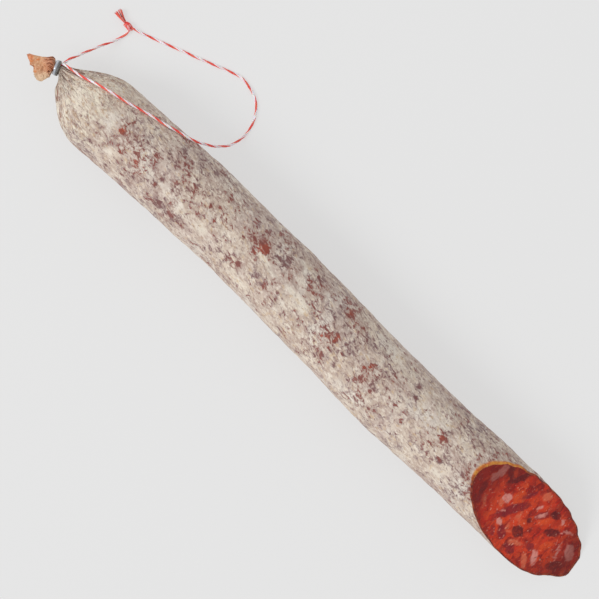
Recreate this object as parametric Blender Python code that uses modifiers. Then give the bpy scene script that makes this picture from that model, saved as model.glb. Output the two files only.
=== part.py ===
"""A cured sausage lying on a table: metres, +Z up, +X towards the cut end, origin under its middle.

A long sausage in a mould-covered casing, tied off at one end with an aluminium clip.
The casing fans out past the clip, a twine loop leaves the neck and lies beside the sausage,
and the other end is cut off at a slant, so that the filling shows.
"""

import math

import bmesh
import bpy
from mathutils import Matrix, Vector

# Driving dimensions
RADIUS = 0.0225
AXIS_HEIGHT = 0.0216
CASING_WALL = 0.0008
GAP = 0.0003

# Slow swells of the body, as shares of its radius, and the lengths that set their pitches
SWELL = 0.009
SWELL_PITCH = 0.0125
CROSS_SWELL = 0.007
CROSS_SWELL_PITCH = 0.0310
SWELL_START = 0.010
SWELL_FULL = 0.040

# The tied end: where the clip sits, how its axis is turned from the sausage's, and the shoulder
CLIP_CENTRE = Vector((-0.1865, -0.0022, AXIS_HEIGHT))
CLIP_YAW = math.radians(25.8)
CLIP_BORE = 0.0028
CLIP_THICKNESS = 0.0015
CLIP_WIDTH = 0.0028
CLIP_OPENING = math.radians(16)
NECK_RADIUS = CLIP_BORE - GAP
NECK_HALF = CLIP_WIDTH / 2 + GAP
SHOULDER_LENGTH = 0.035
SHOULDER_POWER = 1.9
YAW_FADE = 0.0065
PLEATS = 8
PLEAT_DEPTH = 0.16
PLEAT_FULL = 0.0041
PLEAT_END = 0.0240

# The fan of spare casing past the clip; its upper corner is the longer one
TAIL_YAW = math.radians(39.7)
TAIL_LONG_SIDE = 0.0167
TAIL_SHORT_SIDE = 0.0090
TAIL_TOP_EDGE = 0.0058
TAIL_LOW_EDGE = -0.0083
TAIL_SLANT_POWER = 1.6
TAIL_TOP_SPREAD = 6.0
TAIL_LOW_SPREAD = 1.3
TAIL_BULGE = 0.0031
TAIL_THIN = 0.0019
TAIL_DROOP = 0.0020
TAIL_FOLD_DEPTH = 0.0011
TAIL_FOLD_PITCH = 0.0048

# The slanted cut: a point of the sausage's axis on it, and the way the face looks
CUT_POINT = Vector((0.1656, 0.0017, AXIS_HEIGHT))
CUT_NORMAL = Vector((0.517, 0.075, 0.853)).normalized()
BODY_END = 0.2150
CUTTER_SIDE = 0.12

# The filling starts a little way inside the shoulder, with a blunt rounded end
FILLING_START = 0.0085
FILLING_END_LENGTH = 0.0015
FILLING_END_WIDTH = 0.75
FILLING_FIRST_RING = 0.0040
HOLLOW_OVERRUN = 0.01

# How the axis sways sideways, from the clip to past the cut
SWAY = (
    (-0.1880, -0.0029),
    (-0.1865, -0.0022),
    (-0.1850, -0.0018),
    (-0.1800, -0.0033),
    (-0.1700, -0.0038),
    (-0.1550, -0.0032),
    (-0.1220, -0.0012),
    (-0.0820, 0.0009),
    (-0.0330, 0.0018),
    (0.0160, 0.0013),
    (0.0560, 0.0003),
    (0.0970, 0.0011),
    (0.1300, 0.0024),
    (0.2150, 0.0034),
)

# Facets
TURN_STEPS = 32
BODY_RINGS = 27
CLIP_STEPS = 24
CLIP_SIDES = 10

# The twine, 1.4 mm through: the hand-laid routes of its two strands, from the clip to the knot
TWINE_DIAMETER = 0.0014
TWINE_SPACING = 2.6 * TWINE_DIAMETER
LONG_ROUTE = (
    (-0.1862, 0.0029, 0.0230),
    (-0.1836, 0.0023, 0.0249),
    (-0.1801, 0.0026, 0.0272),
    (-0.1764, 0.0033, 0.0311),
    (-0.1726, 0.0040, 0.0343),
    (-0.1649, 0.0064, 0.0384),
    (-0.1570, 0.0086, 0.0407),
    (-0.1480, 0.0106, 0.0408),
    (-0.1420, 0.0122, 0.0398),
    (-0.1325, 0.0150, 0.0381),
    (-0.1229, 0.0172, 0.0364),
    (-0.1140, 0.0198, 0.0336),
    (-0.1102, 0.0207, 0.0325),
    (-0.1065, 0.0218, 0.0306),
    (-0.1038, 0.0230, 0.0281),
    (-0.1011, 0.0246, 0.0246),
    (-0.0982, 0.0264, 0.0205),
    (-0.0955, 0.0286, 0.0162),
    (-0.0930, 0.0314, 0.0117),
    (-0.0911, 0.0345, 0.0078),
    (-0.0900, 0.0379, 0.0045),
    (-0.0896, 0.0413, 0.0022),
    (-0.0894, 0.0448, 0.0011),
    (-0.0898, 0.0481, 0.0008),
    (-0.0919, 0.0537, 0.0008),
    (-0.0942, 0.0576, 0.0008),
    (-0.0967, 0.0602, 0.0008),
    (-0.1001, 0.0625, 0.0008),
    (-0.1045, 0.0642, 0.0008),
    (-0.1105, 0.0651, 0.0008),
    (-0.1147, 0.0649, 0.0008),
    (-0.1211, 0.0626, 0.0008),
    (-0.1280, 0.0599, 0.0008),
    (-0.1338, 0.0575, 0.0008),
    (-0.1417, 0.0544, 0.0008),
    (-0.1466, 0.0526, 0.0008),
    (-0.1550, 0.0492, 0.0008),
    (-0.1630, 0.0457, 0.0008),
    (-0.1671, 0.0436, 0.0010),
    (-0.1725, 0.0419, 0.0018),
)
SHORT_ROUTE = (
    (-0.1864, 0.0030, 0.0211),
    (-0.1855, 0.0062, 0.0199),
    (-0.1837, 0.0106, 0.0169),
    (-0.1820, 0.0156, 0.0129),
    (-0.1805, 0.0204, 0.0089),
    (-0.1792, 0.0238, 0.0062),
    (-0.1780, 0.0269, 0.0042),
    (-0.1763, 0.0305, 0.0023),
    (-0.1748, 0.0339, 0.0013),
    (-0.1739, 0.0365, 0.0012),
    (-0.1740, 0.0392, 0.0016),
)
KNOT_CENTRE = Vector((-0.1757, 0.0412, 0.0019))
KNOT_SIZE = Vector((0.0058, 0.0034, 0.0033))
KNOT_YAW = math.radians(24)
KNOT_WAIST = 0.18
END_ROUTES = (
    (
        (-0.1788, 0.0409, 0.0009),
        (-0.1810, 0.0419, 0.0008),
        (-0.1830, 0.0431, 0.0008),
        (-0.1850, 0.0441, 0.0008),
    ),
    (
        (-0.1788, 0.0405, 0.0027),
        (-0.1815, 0.0405, 0.0025),
        (-0.1840, 0.0403, 0.0016),
        (-0.1864, 0.0402, 0.0009),
    ),
)


def clear_scene():
    for obj in list(bpy.data.objects):
        bpy.data.objects.remove(obj, do_unlink=True)


def collection(name):
    made = bpy.data.collections.new(name)
    bpy.context.scene.collection.children.link(made)
    return made


def finish(name, colour, roughness, metallic=0.0):
    """A plain finish for one sub-part."""
    material = bpy.data.materials.new(name)
    material.use_nodes = True
    shader = material.node_tree.nodes["Principled BSDF"]
    shader.inputs["Base Color"].default_value = (*colour, 1.0)
    shader.inputs["Roughness"].default_value = roughness
    shader.inputs["Metallic"].default_value = metallic
    return material


def blend(low, high, share):
    return low + (high - low) * share


def ramp(value, start, end):
    """0 before start, 1 past end, and an even S-curve between them."""
    share = min(1.0, max(0.0, (value - start) / (end - start)))
    return share * share * (3 - 2 * share)


def smooth_through(points, share):
    """A point of the smooth curve through the points; share runs from 0 to the last index."""
    index = min(int(share), len(points) - 2)
    t = share - index
    before = points[max(index - 1, 0)]
    start, end = points[index], points[index + 1]
    after = points[min(index + 2, len(points) - 1)]
    return tuple(
        0.5 * (2 * b + (c - a) * t + (2 * a - 5 * b + 4 * c - d) * t**2 + (3 * b - a - 3 * c + d) * t**3)
        for a, b, c, d in zip(before, start, end, after)
    )


def sway_at(x):
    """Sideways place of the axis at x, on a smooth curve through SWAY."""
    last = len(SWAY) - 2
    index = next((i for i in range(last + 1) if x < SWAY[i + 1][0]), last)
    slopes = []
    for i in (index, index + 1):
        low, high = SWAY[max(i - 1, 0)], SWAY[min(i + 1, last + 1)]
        slopes.append((high[1] - low[1]) / (high[0] - low[0]))
    (x0, y0), (x1, y1) = SWAY[index], SWAY[index + 1]
    t = min(1.0, max(0.0, (x - x0) / (x1 - x0)))
    start = (1 + 2 * t) * (1 - t) ** 2 * y0 + t * (1 - t) ** 2 * (x1 - x0) * slopes[0]
    end = t * t * (3 - 2 * t) * y1 + t * t * (t - 1) * (x1 - x0) * slopes[1]
    return start + end


def radius_at(station):
    """The casing's radius at a distance from the clip, towards the cut."""
    along = (station - NECK_HALF) / SHOULDER_LENGTH
    if along <= 0:
        return NECK_RADIUS
    return NECK_RADIUS + (RADIUS - NECK_RADIUS) * (1 - max(0.0, 1 - along) ** SHOULDER_POWER)


def unevenness(station, angle):
    """Slow swells of the body, as a share of its radius: none at the neck."""
    swell = SWELL * math.sin(station / SWELL_PITCH + 1.5 * math.sin(angle))
    swell += CROSS_SWELL * math.sin(station / CROSS_SWELL_PITCH - 2 * angle)
    return swell * ramp(station, SWELL_START, SWELL_FULL)


def pleating(station, angle):
    """How far the gathers near the clip pull the casing in, as a share of its radius."""
    reach = ramp(station, NECK_HALF, PLEAT_FULL) * (1 - ramp(station, PLEAT_FULL, PLEAT_END))
    wave = 0.5 + 0.5 * math.cos(PLEATS * angle + 0.9 * math.sin(2 * angle))
    return PLEAT_DEPTH * reach * wave


def sideways(yaw):
    return Vector((-math.sin(yaw), math.cos(yaw), 0.0))


def backwards(yaw):
    return Vector((-math.cos(yaw), -math.sin(yaw), 0.0))


def body_point(station, radius, angle, inset):
    """A point of the body: station along it, radius and angle around its axis."""
    x = CLIP_CENTRE.x + station
    yaw = CLIP_YAW * (1 - ramp(station, NECK_HALF, NECK_HALF + YAW_FADE))
    reach = radius * (1 + unevenness(station, angle) - pleating(station, angle))
    centre = Vector((x, sway_at(x), AXIS_HEIGHT))
    point = centre + sideways(yaw) * reach * math.cos(angle)
    point.z = max(inset, point.z + reach * math.sin(angle))
    return point


def tail_point(station, radius, angle):
    """A point of the fan past the clip: it spreads sideways, thins out and folds up and down."""
    past = (-station - NECK_HALF) / (TAIL_LONG_SIDE - NECK_HALF)
    spread_power = blend(TAIL_LOW_SPREAD, TAIL_TOP_SPREAD, 0.5 + 0.5 * math.cos(angle))
    spread = 1 - (1 - min(1.0, max(0.0, past))) ** spread_power
    share = radius / NECK_RADIUS
    middle = spread * (TAIL_TOP_EDGE + TAIL_LOW_EDGE) / 2
    half = blend(NECK_RADIUS, (TAIL_TOP_EDGE - TAIL_LOW_EDGE) / 2, spread)
    side = middle + share * half * math.cos(angle)
    slant = (TAIL_TOP_EDGE - side) / (TAIL_TOP_EDGE - TAIL_LOW_EDGE)
    end = blend(TAIL_LONG_SIDE, TAIL_SHORT_SIDE, min(1.0, max(0.0, slant)) ** TAIL_SLANT_POWER)
    along = -station if past <= 0 else blend(NECK_HALF, end, past)
    yaw = blend(CLIP_YAW, TAIL_YAW, ramp(past, 0.0, 0.3))
    thick = blend(NECK_RADIUS, TAIL_BULGE, ramp(past, 0.0, 0.2))
    thick = blend(thick, TAIL_THIN, ramp(past, 0.2, 1.0))
    fold = TAIL_FOLD_DEPTH * spread * math.sin(2 * math.pi * side / TAIL_FOLD_PITCH)
    rise = share * thick * math.sin(angle) + fold * ramp(past, 0.0, 0.5) - TAIL_DROOP * max(0.0, past) ** 2
    return CLIP_CENTRE + backwards(yaw) * along + sideways(yaw) * side + Vector((0, 0, rise))


def turned_mesh(name, profile, place):
    """A (radius, station) profile turned once round, then every point put in its place."""
    mesh = bpy.data.meshes.new(name)
    points = [(radius, 0.0, station) for radius, station in profile]
    edges = [(i, i + 1) for i in range(len(points) - 1)]
    mesh.from_pydata(points, edges, [])
    blank = bpy.data.objects.new(name + "_profile", mesh)
    bpy.context.scene.collection.objects.link(blank)
    screw = blank.modifiers.new("Turn", "SCREW")
    screw.axis = "Z"
    screw.steps = screw.render_steps = TURN_STEPS
    screw.use_merge_vertices = True
    screw.merge_threshold = 0.00001
    evaluated = blank.evaluated_get(bpy.context.evaluated_depsgraph_get())
    turned = bpy.data.meshes.new_from_object(evaluated)
    bpy.data.objects.remove(blank, do_unlink=True)
    for vertex in turned.vertices:
        x, y, station = vertex.co
        vertex.co = place(station, math.hypot(x, y), math.atan2(y, x))
    turned.name = name
    turned.shade_smooth()
    turned.set_sharp_from_angle(angle=math.radians(40))
    return turned


def body_stations(first):
    """Stations from the cut end back to first, even along the body and closer on the shoulder."""
    straight = NECK_HALF + SHOULDER_LENGTH
    end = BODY_END - CLIP_CENTRE.x
    stations = [blend(end, straight, i / BODY_RINGS) for i in range(BODY_RINGS + 1)]
    stations += [NECK_HALF + SHOULDER_LENGTH * share for share in (0.80, 0.62, 0.46, 0.33, 0.22, 0.14, 0.07, 0.03)]
    return [station for station in stations if station > first]


def casing_mesh():
    """The casing's outside: body, shoulder and the gathered neck up to the middle of the clip."""
    stations = body_stations(NECK_HALF)
    profile = [(0.0, stations[0])] + [(radius_at(station), station) for station in stations]
    profile += [(NECK_RADIUS, NECK_HALF), (NECK_RADIUS, GAP / 2), (0.0, GAP / 2)]
    return turned_mesh("casing", profile, lambda station, radius, angle: body_point(station, radius, angle, 0.0))


def tail_mesh():
    """The fan of spare casing, from the middle of the clip to its ragged end."""
    profile = [(0.0, -GAP / 2), (NECK_RADIUS, -GAP / 2), (NECK_RADIUS, -NECK_HALF)]
    length = TAIL_LONG_SIDE - NECK_HALF
    profile += [(NECK_RADIUS, -NECK_HALF - length * share) for share in (0.06, 0.16, 0.32, 0.5, 0.68, 0.85, 1.0)]
    profile += [(NECK_RADIUS * 0.5, -TAIL_LONG_SIDE), (0.0, -TAIL_LONG_SIDE)]
    return turned_mesh("casing_end", profile, tail_point)


def core_mesh(name, inset, overrun):
    """The casing's inside, drawn in by inset: the hollow that is cut from it, and the filling."""
    start = FILLING_START + inset - CASING_WALL
    stations = body_stations(start + FILLING_FIRST_RING)
    stations[0] += overrun
    profile = [(0.0, stations[0])] + [(radius_at(station) - inset, station) for station in stations]
    end = start + FILLING_END_LENGTH
    profile += [((radius_at(end) - inset) * FILLING_END_WIDTH, end), (0.0, start)]
    return turned_mesh(name, profile, lambda station, radius, angle: body_point(station, radius, angle, inset))


def cut_with(obj, cutter):
    boolean = obj.modifiers.new("Cut", "BOOLEAN")
    boolean.operation = "DIFFERENCE"
    boolean.solver = "EXACT"
    boolean.object = cutter


def add(name, mesh, group, material=None):
    obj = bpy.data.objects.new(name, mesh)
    if material:
        mesh.materials.clear()
        mesh.materials.append(material)
    group.objects.link(obj)
    return obj


def make_cutter(obj):
    obj.hide_render = True
    obj.display_type = "WIRE"


def slant_cutter(cutters):
    """A block whose underside is the plane of the cut."""
    mesh = bpy.data.meshes.new("slant_cut")
    work = bmesh.new()
    bmesh.ops.create_cube(work, size=CUTTER_SIDE)
    bmesh.ops.translate(work, verts=work.verts, vec=(0, 0, CUTTER_SIDE / 2))
    work.to_mesh(mesh)
    work.free()
    cutter = add("slant_cut", mesh, cutters)
    cutter.rotation_euler = Vector((0, 0, 1)).rotation_difference(CUT_NORMAL).to_euler()
    cutter.location = CUT_POINT
    make_cutter(cutter)
    return cutter


def casing(parts, cutters, slant):
    """The mould-covered skin, open at the cut and gathered into the clip at the other end."""
    obj = add("casing", casing_mesh(), parts, finish("mouldy_casing", (0.62, 0.53, 0.45), 0.85))
    hollow = add("hollow", core_mesh("hollow", CASING_WALL, HOLLOW_OVERRUN), cutters)
    make_cutter(hollow)
    cut_with(obj, hollow)
    cut_with(obj, slant)


def casing_end(parts):
    """The same skin past the clip, dry and crumpled: it meets the rest inside the clip."""
    add("casing_end", tail_mesh(), parts, finish("dry_casing", (0.52, 0.28, 0.15), 0.6))


def filling(parts, slant):
    """The cured meat inside, which shows as the slanted face."""
    mesh = core_mesh("filling", CASING_WALL + GAP, 0.0)
    obj = add("filling", mesh, parts, finish("paprika_filling", (0.42, 0.05, 0.02), 0.35))
    cut_with(obj, slant)


def clip(parts):
    """A flattened aluminium wire bent round the neck, its ends left just apart underneath."""
    work = bmesh.new()
    bmesh.ops.create_circle(work, cap_ends=True, segments=CLIP_SIDES, radius=0.5)
    bmesh.ops.scale(work, verts=work.verts, vec=(CLIP_THICKNESS, CLIP_WIDTH, 1.0))
    bmesh.ops.translate(work, verts=work.verts, vec=(CLIP_BORE + CLIP_THICKNESS / 2, 0, 0))
    bmesh.ops.rotate(work, verts=work.verts, matrix=Matrix.Rotation(-CLIP_OPENING / 2, 3, "Y"))
    bmesh.ops.spin(
        work,
        geom=work.verts[:] + work.edges[:] + work.faces[:],
        cent=(0, 0, 0),
        axis=(0, 1, 0),
        angle=-(2 * math.pi - CLIP_OPENING),
        steps=CLIP_STEPS,
    )
    bmesh.ops.recalc_face_normals(work, faces=work.faces)
    mesh = bpy.data.meshes.new("clip")
    work.to_mesh(mesh)
    work.free()
    mesh.shade_smooth()
    mesh.set_sharp_from_angle(angle=math.radians(40))
    obj = add("clip", mesh, parts, finish("bright_aluminium", (0.62, 0.63, 0.65), 0.3, 1.0))
    along = -backwards(CLIP_YAW)
    # The ring's own X points down, where its ends meet, and its Y lies along the neck.
    turn = Matrix((Vector((0, 0, -1)), along, Vector((0, 0, -1)).cross(along))).transposed()
    obj.matrix_world = Matrix.Translation(CLIP_CENTRE) @ turn.to_4x4()


def evenly(route, spacing):
    """Points about a spacing apart along the smooth curve through a route."""
    fine = 24
    count = (len(route) - 1) * fine
    dense = [Vector(smooth_through(route, i / fine)) for i in range(count + 1)]
    travelled = [0.0]
    for i in range(count):
        travelled.append(travelled[-1] + (dense[i + 1] - dense[i]).length)
    steps = max(2, round(travelled[-1] / spacing))
    points = []
    index = 0
    for step in range(steps + 1):
        goal = travelled[-1] * step / steps
        while index < count - 1 and travelled[index + 1] < goal:
            index += 1
        share = (goal - travelled[index]) / (travelled[index + 1] - travelled[index])
        points.append(dense[index].lerp(dense[index + 1], share))
    return points


def twine(name, route, parts, material):
    """One strand of twine as a plain tube along its route."""
    points = evenly(route, TWINE_SPACING)
    curve = bpy.data.curves.new(name, "CURVE")
    curve.dimensions = "3D"
    curve.bevel_depth = TWINE_DIAMETER / 2
    curve.bevel_resolution = 2
    curve.use_fill_caps = True
    spline = curve.splines.new("POLY")
    spline.points.add(len(points) - 1)
    for target, point in zip(spline.points, points):
        target.co = (*point, 1.0)
    curve.materials.append(material)
    obj = bpy.data.objects.new(name, curve)
    parts.objects.link(obj)


def knot(parts, material):
    """The overhand knot that joins the two strands, as one lump drawn in at its waist."""
    work = bmesh.new()
    bmesh.ops.create_uvsphere(work, u_segments=14, v_segments=9, radius=0.5)
    for vertex in work.verts:
        x, y, z = vertex.co
        waist = 1 - KNOT_WAIST * math.cos(2 * math.pi * x) ** 2
        vertex.co = (x * KNOT_SIZE.x, y * KNOT_SIZE.y * waist, z * KNOT_SIZE.z * waist)
    mesh = bpy.data.meshes.new("string_knot")
    work.to_mesh(mesh)
    work.free()
    mesh.shade_smooth()
    obj = add("string_knot", mesh, parts, material)
    obj.location = KNOT_CENTRE
    obj.rotation_euler.z = KNOT_YAW


def build():
    clear_scene()
    parts = collection("cured_sausage")
    cutters = collection("cutters")
    slant = slant_cutter(cutters)
    casing(parts, cutters, slant)
    casing_end(parts)
    filling(parts, slant)
    clip(parts)
    thread = finish("red_white_twine", (0.72, 0.30, 0.29), 0.8)
    twine("string_long", LONG_ROUTE, parts, thread)
    twine("string_short", SHORT_ROUTE, parts, thread)
    knot(parts, thread)
    for side, route in zip(("a", "b"), END_ROUTES):
        twine("string_end_" + side, route, parts, thread)


build()
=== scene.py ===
"""Looks of a cured sausage: paprika filling, mouldy casing, clip and twine, on a pale table.

Metres, +Z up, +X towards the cut end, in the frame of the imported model.
"""

import math

import bmesh
import bpy
import numpy as np
from mathutils import Matrix, Vector, noise


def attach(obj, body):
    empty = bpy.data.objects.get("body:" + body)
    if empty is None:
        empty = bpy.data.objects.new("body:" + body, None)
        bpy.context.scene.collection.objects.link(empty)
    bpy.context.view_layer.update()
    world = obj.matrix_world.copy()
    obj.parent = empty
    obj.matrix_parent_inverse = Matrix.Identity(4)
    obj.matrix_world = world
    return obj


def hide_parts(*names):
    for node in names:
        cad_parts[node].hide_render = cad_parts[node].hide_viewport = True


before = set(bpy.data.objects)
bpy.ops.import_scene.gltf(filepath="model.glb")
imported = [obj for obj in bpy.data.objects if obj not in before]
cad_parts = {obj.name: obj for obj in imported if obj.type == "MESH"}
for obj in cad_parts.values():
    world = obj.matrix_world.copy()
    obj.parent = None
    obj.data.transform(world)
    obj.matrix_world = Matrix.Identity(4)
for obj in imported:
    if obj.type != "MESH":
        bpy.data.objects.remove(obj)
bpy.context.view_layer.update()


# ------------------------------------------------------------------ table, sky, lamp and camera
# A pale table in a bright studio: an even white sky, and one large soft lamp to the left of the
# view. The camera looks straight down through a long lens, with the sausage across the picture.
VIEW_MIDDLE = Vector((-0.0048, 0.0015, 0.0220))
VIEW_WIDTH = 0.3247
VIEW_TURN = math.radians(44.86)
CAMERA_RISE = 2.0
SENSOR_WIDTH = 36.0
TABLE_SIZE = 4.0
TABLE_TONE = 0.25
TABLE_GLOW = 0.552
SKY_GLOW = 0.65
LAMP_PLACE = Vector((-2.25, -2.43, 2.79))
LAMP_SIZE = 2.0
LAMP_POWER = 84.0


def new_finish(name):
    """An empty material with its shader; returns its node tree and the shader."""
    material = bpy.data.materials.new(name)
    material.use_nodes = True
    return material, material.node_tree, material.node_tree.nodes["Principled BSDF"]


def look_from(obj, place, target):
    obj.location = place
    obj.rotation_euler = (place - target).to_track_quat("Z", "Y").to_euler()


def table():
    work = bmesh.new()
    bmesh.ops.create_grid(work, x_segments=8, y_segments=8, size=TABLE_SIZE / 2)
    mesh = bpy.data.meshes.new("table")
    work.to_mesh(mesh)
    work.free()
    material, tree, shader = new_finish("pale_table")
    shader.inputs["Base Color"].default_value = (TABLE_TONE, TABLE_TONE, TABLE_TONE, 1.0)
    shader.inputs["Roughness"].default_value = 0.9
    shader.inputs["Specular IOR Level"].default_value = 0.0
    shader.inputs["Emission Color"].default_value = (1.0, 1.0, 1.0, 1.0)
    shader.inputs["Emission Strength"].default_value = TABLE_GLOW
    mesh.materials.append(material)
    obj = bpy.data.objects.new("table", mesh)
    bpy.context.scene.collection.objects.link(obj)


def sky():
    world = bpy.data.worlds.new("studio_sky")
    world.use_nodes = True
    background = world.node_tree.nodes["Background"]
    background.inputs["Color"].default_value = (1.0, 1.0, 1.0, 1.0)
    background.inputs["Strength"].default_value = SKY_GLOW
    bpy.context.scene.world = world


def lamp():
    light = bpy.data.lights.new("soft_lamp", "AREA")
    light.shape = "DISK"
    light.size = LAMP_SIZE
    light.energy = LAMP_POWER
    obj = bpy.data.objects.new("soft_lamp", light)
    bpy.context.scene.collection.objects.link(obj)
    look_from(obj, LAMP_PLACE, Vector((0, 0, 0)))


def camera():
    data = bpy.data.cameras.new("camera")
    data.sensor_width = SENSOR_WIDTH
    data.lens = SENSOR_WIDTH * CAMERA_RISE / VIEW_WIDTH
    data.clip_start = 0.1
    data.clip_end = 20.0
    obj = bpy.data.objects.new("camera", data)
    bpy.context.scene.collection.objects.link(obj)
    obj.location = VIEW_MIDDLE + Vector((0, 0, CAMERA_RISE))
    obj.rotation_euler.z = VIEW_TURN
    bpy.context.scene.camera = obj


bpy.context.scene.view_settings.view_transform = "Standard"
table()
sky()
lamp()
camera()


# ------------------------------------------------------------------ the filling
# Coarsely chopped lean and fat pork, red with paprika, stuffed into the casing and cured until
# firm. It is cut off at a slant at one end, where the moist face shows pieces of meat and fat.
RADIUS = 0.0225
AXIS_HEIGHT = 0.0216
CASING_WALL = 0.0008
CLIP_CENTRE = Vector((-0.1865, -0.0022, AXIS_HEIGHT))
CLIP_YAW = math.radians(25.8)
NECK_RADIUS = 0.0025
NECK_HALF = 0.0017
SHOULDER_LENGTH = 0.035
SHOULDER_POWER = 1.9
YAW_FADE = 0.0065
CUT_POINT = Vector((0.1676, 0.0017, AXIS_HEIGHT))
CUT_NORMAL = Vector((0.498, 0.075, 0.868)).normalized()
CUT_STATION = CUT_POINT.x - CLIP_CENTRE.x
SLANT_START = 0.285

SWELL = 0.009
SWELL_PITCH = 0.0125
CROSS_SWELL = 0.007
CROSS_SWELL_PITCH = 0.0310
SWELL_START = 0.010
SWELL_FULL = 0.040

SWAY = (
    (-0.1880, -0.0029),
    (-0.1865, -0.0022),
    (-0.1850, -0.0018),
    (-0.1800, -0.0033),
    (-0.1700, -0.0038),
    (-0.1550, -0.0032),
    (-0.1220, -0.0012),
    (-0.0820, 0.0009),
    (-0.0330, 0.0018),
    (0.0160, 0.0013),
    (0.0560, 0.0003),
    (0.0970, 0.0011),
    (0.1300, 0.0024),
    (0.2150, 0.0034),
)

LUMP = 0.00035
LUMP_SCALE = 75.0
EDGE_WAVE = 0.00030
EDGE_WAVE_SCALE = 190.0
# The knife's side: a flat pressed in below the cut, and ripples on the far edge
DENT_ANGLE = 230.0
DENT_REACH = 14.0
DENT_DEPTH = 0.0014
DENT_START = 0.325
DENT_FULL = 0.372
RIPPLES = 23
RIPPLE_DEPTH = 0.00028
RIPPLE_START = 0.312
RIPPLE_FULL = 0.338

FILLING_START = 0.0088
FILLING_BITE = 0.0003
FACE_RINGS = 96
FACE_STEPS = 360
SIDE_RINGS = 26
FACE_BUMPS = 0.00022
FACE_BUMP_SCALE = 260.0
FACE_REACH = 0.036

# Pieces that show in the cut face: x and y of the middle, half the length, half the width, turn
# Besides pieces of fat, this list holds a few thin pale streaks that are painted highlights: wet glints of the cut face
# drawn as fat
FAT_AND_GLINT_PIECES = (
    (0.1374, 0.0114, 0.0065, 0.0019, 81),
    (0.1506, 0.0048, 0.0029, 0.0023, 80),
    (0.1564, -0.0077, 0.0015, 0.0016, 45),
    (0.1679, 0.0139, 0.0016, 0.0008, 70),
    (0.1847, -0.0081, 0.0019, 0.0042, 35),
    (0.1974, 0.0075, 0.0029, 0.0048, 37),
    (0.1928, 0.0029, 0.0034, 0.0006, 107),
    (0.1824, 0.0167, 0.0010, 0.0016, 45),
    (0.1888, 0.0143, 0.0029, 0.0009, 25),
    (0.1712, 0.0110, 0.0034, 0.0010, 65),
    (0.1562, -0.0072, 0.0016, 0.0015, 0),
    (0.1531, -0.0019, 0.0014, 0.0007, 60),
    (0.1674, 0.0130, 0.0015, 0.0008, 65),
    (0.1908, 0.0056, 0.0026, 0.0006, 100),
    (0.1935, 0.0000, 0.0016, 0.0005, 30),
    (0.1866, 0.0119, 0.0010, 0.0007, 40),
)
STAINED_FAT_PIECES = (
    (0.1495, 0.0008, 0.0025, 0.0014, 115),
    (0.1618, 0.0020, 0.0029, 0.0009, 83),
    (0.1642, 0.0007, 0.0016, 0.0009, 95),
    (0.1619, -0.0066, 0.0024, 0.0009, 105),
    (0.1711, -0.0099, 0.0040, 0.0012, 35),
    (0.1819, -0.0131, 0.0018, 0.0046, 40),
    (0.1664, 0.0205, 0.0030, 0.0023, 45),
    (0.1421, -0.0051, 0.0011, 0.0034, 30),
    (0.1635, -0.0080, 0.0026, 0.0007, 50),
    (0.1696, -0.0096, 0.0030, 0.0011, 40),
    (0.1616, -0.0069, 0.0008, 0.0026, 30),
    (0.1625, 0.0018, 0.0026, 0.0008, 85),
    (0.1620, 0.0042, 0.0014, 0.0007, 85),
)
LEAN_PIECES = (
    (0.1411, 0.0166, 0.0017, 0.0050, 45),
    (0.1473, 0.0162, 0.0068, 0.0019, 63),
    (0.1492, 0.0210, 0.0030, 0.0016, 65),
    (0.1676, -0.0042, 0.0034, 0.0034, 45),
    (0.1678, 0.0044, 0.0015, 0.0016, 45),
    (0.1366, -0.0003, 0.0017, 0.0046, 15),
    (0.1821, 0.0084, 0.0048, 0.0022, 35),
    (0.1770, 0.0165, 0.0032, 0.0023, 25),
    (0.1961, -0.0034, 0.0048, 0.0023, 55),
)
MUSCLE_PIECES = (
    (0.1568, 0.0022, 0.0104, 0.0025, 61),
    (0.1583, 0.0140, 0.0060, 0.0013, 65),
    (0.1712, 0.0110, 0.0044, 0.0019, 65),
    (0.1612, -0.0103, 0.0024, 0.0040, 45),
    (0.1711, -0.0136, 0.0030, 0.0034, 45),
    (0.1792, -0.0055, 0.0024, 0.0024, 45),
    (0.1388, -0.0062, 0.0017, 0.0032, 25),
    (0.1568, -0.0132, 0.0017, 0.0030, 35),
)
OILY_PIECES = (
    (0.1744, 0.0095, 0.0042, 0.0017, 50),
    (0.1550, 0.0099, 0.0044, 0.0034, 85),
    (0.1530, 0.0164, 0.0018, 0.0016, 45),
    (0.1570, -0.0055, 0.0013, 0.0022, 70),
    (0.1660, 0.0010, 0.0030, 0.0015, 60),
    (0.1850, 0.0010, 0.0045, 0.0020, 70),
)
PIECE_POWER = 2.6
PIECE_WARP = 0.0008
PIECE_WARP_SCALE = 330.0
PIECE_REACH = 0.0015


def blend(low, high, share):
    return low + (high - low) * share


def ramp(value, start, end):
    """0 before start, 1 past end, and an even S-curve between them."""
    share = min(1.0, max(0.0, (value - start) / (end - start)))
    return share * share * (3 - 2 * share)


def sway_at(x):
    """Sideways place of the axis at x, on a smooth curve through SWAY."""
    last = len(SWAY) - 2
    index = next((i for i in range(last + 1) if x < SWAY[i + 1][0]), last)
    slopes = []
    for i in (index, index + 1):
        low, high = SWAY[max(i - 1, 0)], SWAY[min(i + 1, last + 1)]
        slopes.append((high[1] - low[1]) / (high[0] - low[0]))
    (x0, y0), (x1, y1) = SWAY[index], SWAY[index + 1]
    t = min(1.0, max(0.0, (x - x0) / (x1 - x0)))
    start = (1 + 2 * t) * (1 - t) ** 2 * y0 + t * (1 - t) ** 2 * (x1 - x0) * slopes[0]
    end = t * t * (3 - 2 * t) * y1 + t * t * (t - 1) * (x1 - x0) * slopes[1]
    return start + end


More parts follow.
